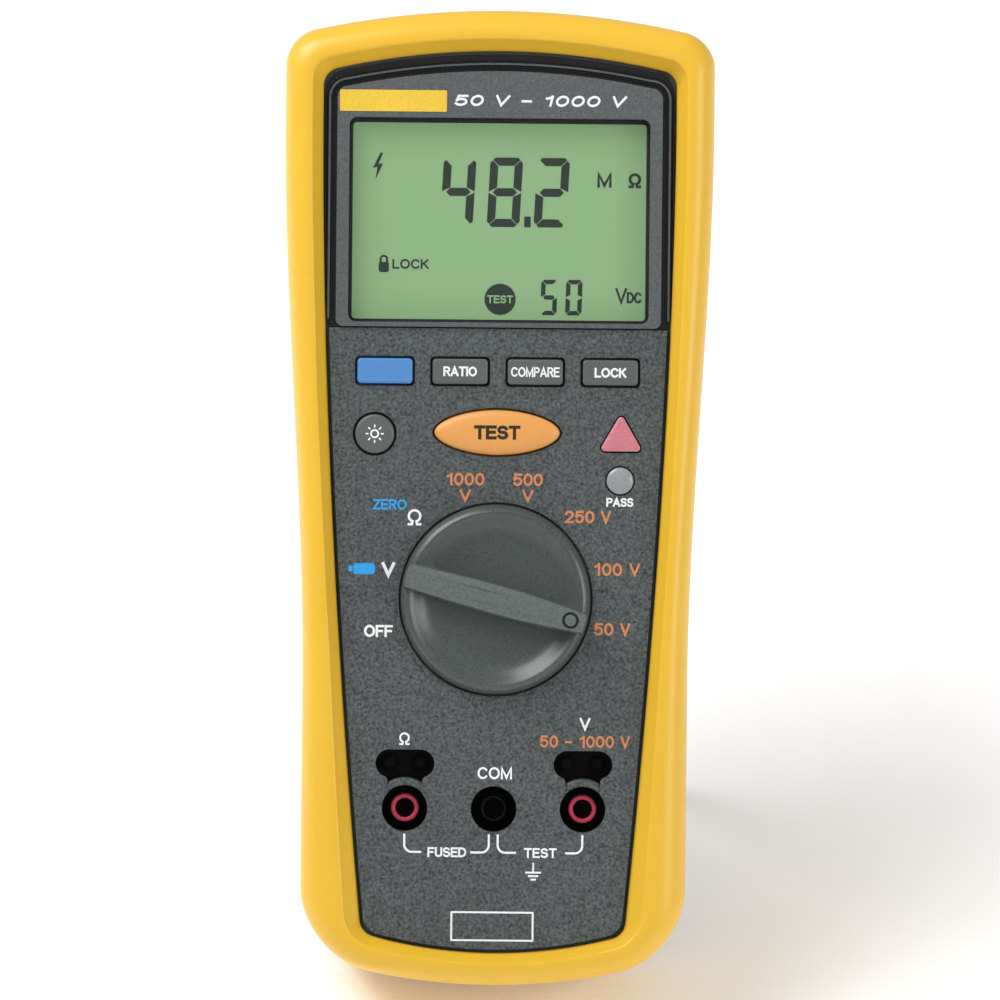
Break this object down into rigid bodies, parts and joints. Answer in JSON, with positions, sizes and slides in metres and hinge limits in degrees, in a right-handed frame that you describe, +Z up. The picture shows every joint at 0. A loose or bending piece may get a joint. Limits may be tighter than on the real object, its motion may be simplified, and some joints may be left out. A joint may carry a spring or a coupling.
{
  "type": "insulation resistance tester",
  "caption": "Hand-held insulation resistance tester in a yellow holster on an open tilt stand, with display, keys, rotary switch and shrouded test sockets.",
  "frame": {"origin": "middle of the box that the standing tester fills, on the surface it stands on", "axes": "+Z up, -Y the way the face looks, +X to the right across the face"},
  "size_m": [0.092, 0.145, 0.2043],
  "materials": {
    "yellow_rubber": "soft moulded rubber with a fine matt grain",
    "grey_case": "moulded ABS with a fine spark-eroded texture",
    "bezel_grey": "moulded ABS, fine texture",
    "knob_grey": "moulded nylon, satin",
    "black_rubber": "matt",
    "grey_rubber": "matt silicone",
    "clear_window": "clear polished acrylic",
    "display_green": "liquid-crystal glass over a green light guide",
    "white_plastic": "moulded",
    "board_green": "glass-fibre board with solder mask",
    "black_plastic": "moulded",
    "red_plastic": "moulded",
    "blue_key": "satin silicone key",
    "grey_key": "satin silicone key",
    "orange_key": "satin silicone key",
    "red_lens": "clear red polycarbonate",
    "grey_lens": "milky grey polycarbonate",
    "fuse_body": "glazed ceramic tube",
    "brass": "nickel-flashed, bright",
    "steel": "zinc plated",
    "cell_wrap": "printed film over a steel can"
  },
  "bodies": {
    "housing": {"beeper": "black_plastic", "board_header": "black_plastic", "case_gasket": "black_rubber", "cell_1": "cell_wrap", "cell_2": "cell_wrap", "cell_3": "cell_wrap", "cell_4": "cell_wrap", "common_collar": "black_plastic", "common_socket": "brass", "detent_ring": "white_plastic", "display_bezel": "bezel_grey", "display_connector": "black_rubber", "display_frame": "white_plastic", "display_glass": "display_green", "display_window": "clear_window", "front_case": "grey_case", "fuse": "fuse_body", "hazard_led": "white_plastic", "hazard_lens": "red_lens", "holster": "yellow_rubber", "input_board": "board_green", "keypad_mat": "grey_rubber", "left_fuse_clip": "steel", "left_stand_pin": "steel", "light_guide": "white_plastic", "lower_cell_contact": "steel", "lower_left_screw": "steel", "lower_right_screw": "steel", "main_board": "board_green", "ohm_collar": "red_plastic", "ohm_remote_pin_left": "brass", "ohm_remote_pin_right": "brass", "ohm_socket": "brass", "pass_led": "white_plastic", "pass_lens": "grey_lens", "rear_case": "grey_case", "right_fuse_clip": "steel", "right_stand_pin": "steel", "socket_block": "black_plastic", "upper_cell_contact": "steel", "upper_left_screw": "steel", "upper_right_screw": "steel", "volt_collar": "red_plastic", "volt_remote_pin_left": "brass", "volt_remote_pin_right": "brass", "volt_socket": "brass"},
    "knob": {"knob": "knob_grey", "switch_rotor": "white_plastic"},
    "shift_button": {"shift_button": "blue_key"},
    "ratio_button": {"ratio_button": "grey_key"},
    "compare_button": {"compare_button": "grey_key"},
    "lock_button": {"lock_button": "grey_key"},
    "backlight_button": {"backlight_button": "grey_key"},
    "test_button": {"test_button": "orange_key"},
    "tilt_stand": {"tilt_stand": "yellow_rubber"},
    "battery_door": {"battery_door": "grey_case"},
    "left_door_lock": {"left_door_lock": "black_plastic"},
    "right_door_lock": {"right_door_lock": "black_plastic"}
  },
  "joints": [
    {"name": "knob_turn", "type": "hinge", "parent": "housing", "child": "knob", "pos_m": [0, -0.0286, 0.09359], "axis": [0, -0.866, 0.5], "range_deg": [0, 210]},
    {"name": "shift_press", "type": "slide", "parent": "housing", "child": "shift_button", "axis": [0, 0.866, -0.5], "range_m": [0, 0.001], "stiffness_N_per_m": 600, "springref_m": -0.0005},
    {"name": "ratio_press", "type": "slide", "parent": "housing", "child": "ratio_button", "axis": [0, 0.866, -0.5], "range_m": [0, 0.001], "stiffness_N_per_m": 600, "springref_m": -0.0005},
    {"name": "compare_press", "type": "slide", "parent": "housing", "child": "compare_button", "axis": [0, 0.866, -0.5], "range_m": [0, 0.001], "stiffness_N_per_m": 600, "springref_m": -0.0005},
    {"name": "lock_press", "type": "slide", "parent": "housing", "child": "lock_button", "axis": [0, 0.866, -0.5], "range_m": [0, 0.001], "stiffness_N_per_m": 600, "springref_m": -0.0005},
    {"name": "backlight_press", "type": "slide", "parent": "housing", "child": "backlight_button", "axis": [0, 0.866, -0.5], "range_m": [0, 0.001], "stiffness_N_per_m": 600, "springref_m": -0.0005},
    {"name": "test_press", "type": "slide", "parent": "housing", "child": "test_button", "axis": [0, 0.866, -0.5], "range_m": [0, 0.0013], "stiffness_N_per_m": 700, "springref_m": -0.0005},
    {"name": "stand_fold", "type": "hinge", "parent": "housing", "child": "tilt_stand", "pos_m": [0, 0.02049, 0.09723], "axis": [1, 0, 0], "range_deg": [-44.8, 0]},
    {"name": "door_lift", "type": "slide", "parent": "housing", "child": "battery_door", "axis": [0, 0.866, -0.5], "range_m": [0, 0.018]},
    {"name": "left_lock_turn", "type": "hinge", "parent": "battery_door", "child": "left_door_lock", "pos_m": [-0.026, 0.00242, 0.07533], "axis": [0, -0.866, 0.5], "range_deg": [0, 90]},
    {"name": "right_lock_turn", "type": "hinge", "parent": "battery_door", "child": "right_door_lock", "pos_m": [0.026, 0.00242, 0.07533], "axis": [0, -0.866, 0.5], "range_deg": [0, 90]}
  ]
}
